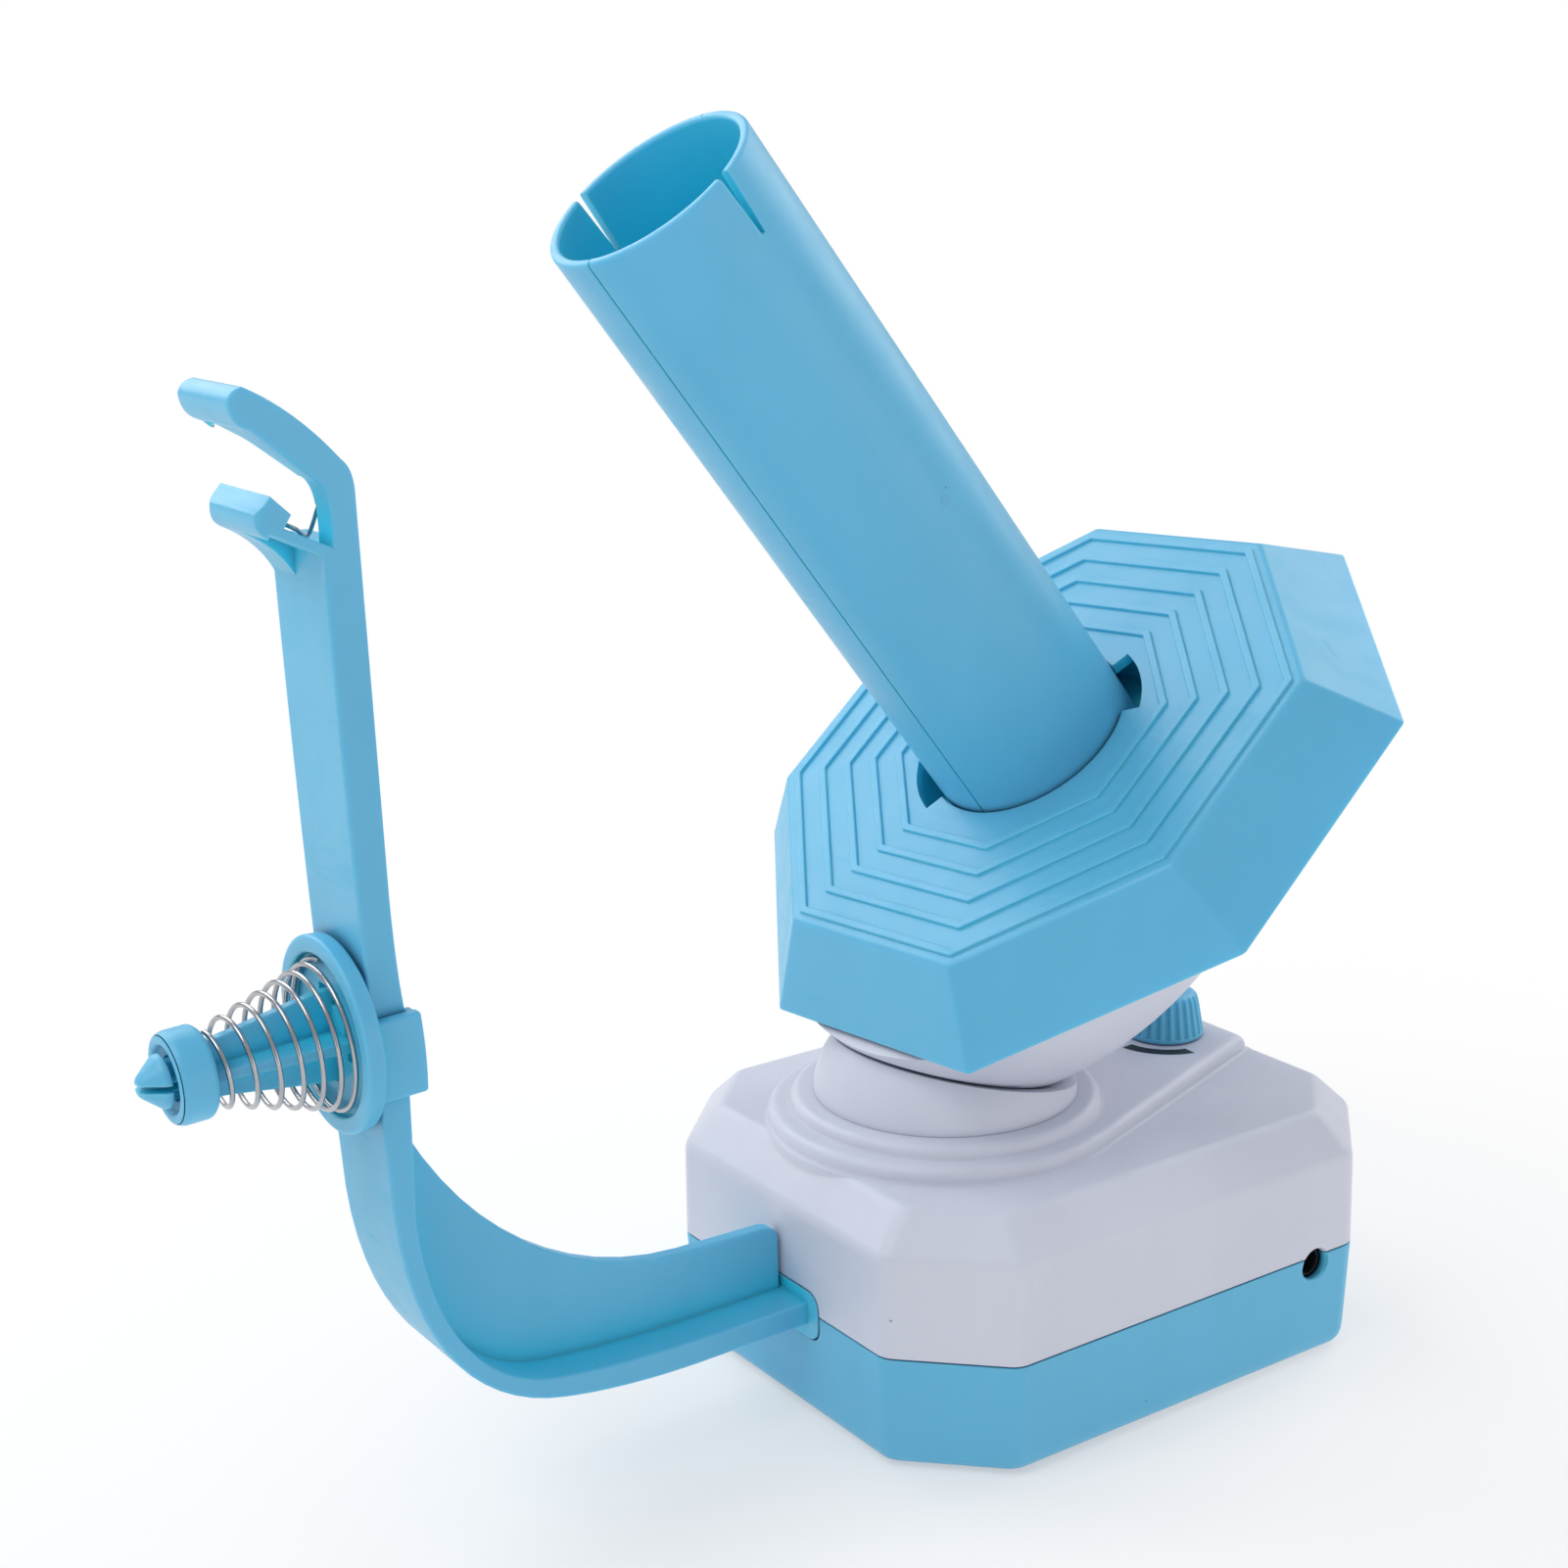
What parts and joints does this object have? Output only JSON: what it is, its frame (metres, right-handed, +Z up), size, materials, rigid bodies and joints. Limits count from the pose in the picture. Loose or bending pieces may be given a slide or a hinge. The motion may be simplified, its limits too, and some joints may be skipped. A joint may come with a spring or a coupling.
{
  "type": "yarn ball winder",
  "caption": "Electric yarn ball winder: spool tube and ribbed plate leaning on a turning bowl head, plug-in yarn arm with sprung tension disc, eight-sided base with speed knob.",
  "frame": {"origin": "centre of the whole object's footprint, on the plane the four feet stand on", "axes": "+Z up; +X from the yarn arm across the base towards the speed knob; -Y the long side of the base with the power socket"},
  "size_m": [0.2446, 0.1364, 0.2408],
  "materials": {
    "blue_plastic": "satin moulded pale blue",
    "white_plastic": "satin moulded cool white",
    "rubber": "matt black",
    "steel": "zinc plated",
    "plated_steel": "bright plated sheet",
    "ground_steel": "ground bright",
    "spring_steel": "bright drawn wire",
    "contact_metal": "nickel plated",
    "bronze": "oiled sintered bronze",
    "acetal": "natural white moulded",
    "black_plastic": "satin black moulded",
    "circuit_laminate": "green varnished laminate",
    "red_insulation": "soft red sleeving",
    "black_insulation": "soft black sleeving"
  },
  "bodies": {
    "base": {"base_bottom_shell": "blue_plastic", "base_top_shell": "white_plastic", "foot_back_right": "rubber", "foot_back_left": "rubber", "foot_front_left": "rubber", "foot_front_right": "rubber", "base_screw_back_right": "steel", "base_screw_back_left": "steel", "base_screw_front_left": "steel", "base_screw_front_right": "steel", "fixed_post": "ground_steel", "sun_gear": "acetal", "sun_gear_screw": "steel", "rotor_bush": "bronze", "motor_can": "plated_steel", "motor_screw_1": "steel", "motor_screw_2": "steel", "gear_plate": "plated_steel", "gear_plate_screw_1": "steel", "gear_plate_screw_2": "steel", "gear_plate_screw_3": "steel", "idler_pin": "ground_steel", "circuit_board": "circuit_laminate", "board_capacitor": "black_plastic", "dc_jack": "black_plastic", "dc_jack_pin": "contact_metal", "motor_wire_red": "red_insulation", "motor_wire_black": "black_insulation", "jack_wire_red": "red_insulation", "jack_wire_black": "black_insulation", "potentiometer_body": "black_plastic", "potentiometer_nut": "steel"},
    "rotor": {"rotor_bell": "white_plastic", "rotor_bowl": "white_plastic", "rotor_screw_1": "steel", "rotor_screw_2": "steel", "rotor_screw_3": "steel", "main_gear": "acetal", "hub_retaining_ring": "plated_steel", "post_bush_upper": "bronze", "post_bush_lower": "bronze", "transfer_pin": "ground_steel", "spool_bush": "bronze"},
    "transfer": {"transfer_gear": "acetal"},
    "spool": {"spool_shaft": "ground_steel", "spool_shaft_screw": "steel", "planet_gear": "acetal", "planet_gear_screw": "steel", "spool_plate": "blue_plastic"},
    "tube": {"yarn_tube": "blue_plastic"},
    "idler": {"idler_gear": "acetal"},
    "motor_rotor": {"motor_shaft": "ground_steel", "motor_pinion": "acetal"},
    "knob": {"speed_knob": "blue_plastic", "potentiometer_shaft": "ground_steel"},
    "arm": {"yarn_arm": "blue_plastic", "wire_guide": "spring_steel", "tension_disc": "blue_plastic", "tension_spring": "spring_steel"},
    "cap": {"tension_cap": "blue_plastic"}
  },
  "joints": [
    {"name": "head_spin", "type": "hinge", "parent": "base", "child": "rotor", "pos_m": [0.03889, 0, 0.06], "axis": [0, 0, 1], "continuous": true},
    {"name": "transfer_spin", "type": "hinge", "parent": "rotor", "child": "transfer", "pos_m": [0.06089, 0, 0.08], "axis": [0, 0, 1], "continuous": true},
    {"name": "spool_spin", "type": "hinge", "parent": "rotor", "child": "spool", "pos_m": [0.03889, 0, 0.1497], "axis": [-0.6157, 0, 0.788], "continuous": true},
    {"name": "idler_spin", "type": "hinge", "parent": "base", "child": "idler", "pos_m": [0.07639, 0, 0.038], "axis": [0, 0, 1], "continuous": true},
    {"name": "motor_spin", "type": "hinge", "parent": "base", "child": "motor_rotor", "pos_m": [0.09312, -0.01858, 0.03], "axis": [0, 0, 1], "continuous": true},
    {"name": "tube_lock", "type": "hinge", "parent": "spool", "child": "tube", "pos_m": [0.03889, 0, 0.1497], "axis": [-0.6157, 0, 0.788], "range_deg": [0, 42]},
    {"name": "knob_turn", "type": "hinge", "parent": "base", "child": "knob", "pos_m": [0.09729, 0, 0.057], "axis": [0, 0, -1], "range_deg": [0, 280]},
    {"name": "arm_release", "type": "slide", "parent": "base", "child": "arm", "axis": [-1, 0, 0], "range_m": [0, 0.012]},
    {"name": "tension_press", "type": "slide", "parent": "arm", "child": "cap", "axis": [0.9991, 0, 0.0419], "range_m": [0, 0.004], "stiffness_N_per_m": 150, "deforming": ["tension_spring"]}
  ],
  "couplings": [
    {"joint": "transfer_spin", "follows": "head_spin", "ratio": 1.1111},
    {"joint": "spool_spin", "follows": "head_spin", "ratio": -1.1111},
    {"joint": "idler_spin", "follows": "head_spin", "ratio": -4},
    {"joint": "motor_spin", "follows": "head_spin", "ratio": 12}
  ]
}
